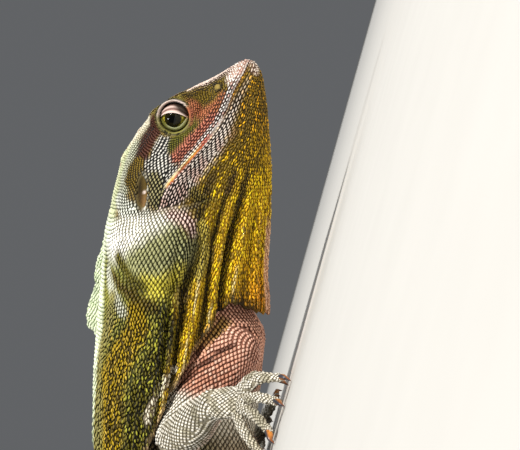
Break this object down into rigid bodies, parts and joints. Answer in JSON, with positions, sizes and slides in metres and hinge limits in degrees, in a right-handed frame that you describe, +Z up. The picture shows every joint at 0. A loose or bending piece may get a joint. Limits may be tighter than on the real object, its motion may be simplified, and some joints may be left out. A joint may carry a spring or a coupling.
{
  "type": "frilled lizard",
  "caption": "Life-size still model of a frilled lizard, crouched with its head raised and its pleated neck frill folded back over the shoulders.",
  "frame": {"origin": "centre of the flat under the belly, where the lizard rests on the floor", "axes": "+X forward, from tail to snout; +Z up; +Y to the lizard's left"},
  "size_m": [0.7557, 0.2, 0.0757],
  "materials": {
    "head": "dry, finely scaled hide, olive brown with cream and red brown marks",
    "jaw": "scaled hide, ochre yellow on the throat, pink and white along the lip",
    "neck_skin": "scaled hide, olive",
    "frill_skin": "pleated scaled hide, olive yellow to green, white scales on the jowl",
    "body_skin": "scaled hide, grey olive with darker bands, pink grey chest",
    "limb_skin": "scaled hide, pink grey with dark joints between the scales",
    "tail_skin": "scaled hide, grey brown with darker rings",
    "eye": "wet, glossy, dark olive"
  },
  "bodies": {
    "root": {"head": "head", "lower_jaw": "jaw", "eye_right": "eye", "eye_left": "eye", "neck": "neck_skin", "frill_right": "frill_skin", "frill_left": "frill_skin", "torso": "body_skin", "hips": "body_skin", "tail_1": "tail_skin", "tail_2": "tail_skin", "tail_3": "tail_skin", "tail_4": "tail_skin", "tail_5": "tail_skin", "upper_arm_right": "limb_skin", "forearm_right": "limb_skin", "hand_right": "limb_skin", "thigh_right": "limb_skin", "shin_right": "limb_skin", "foot_right": "limb_skin", "upper_arm_left": "limb_skin", "forearm_left": "limb_skin", "hand_left": "limb_skin", "thigh_left": "limb_skin", "shin_left": "limb_skin", "foot_left": "limb_skin"}
  },
  "joints": []
}
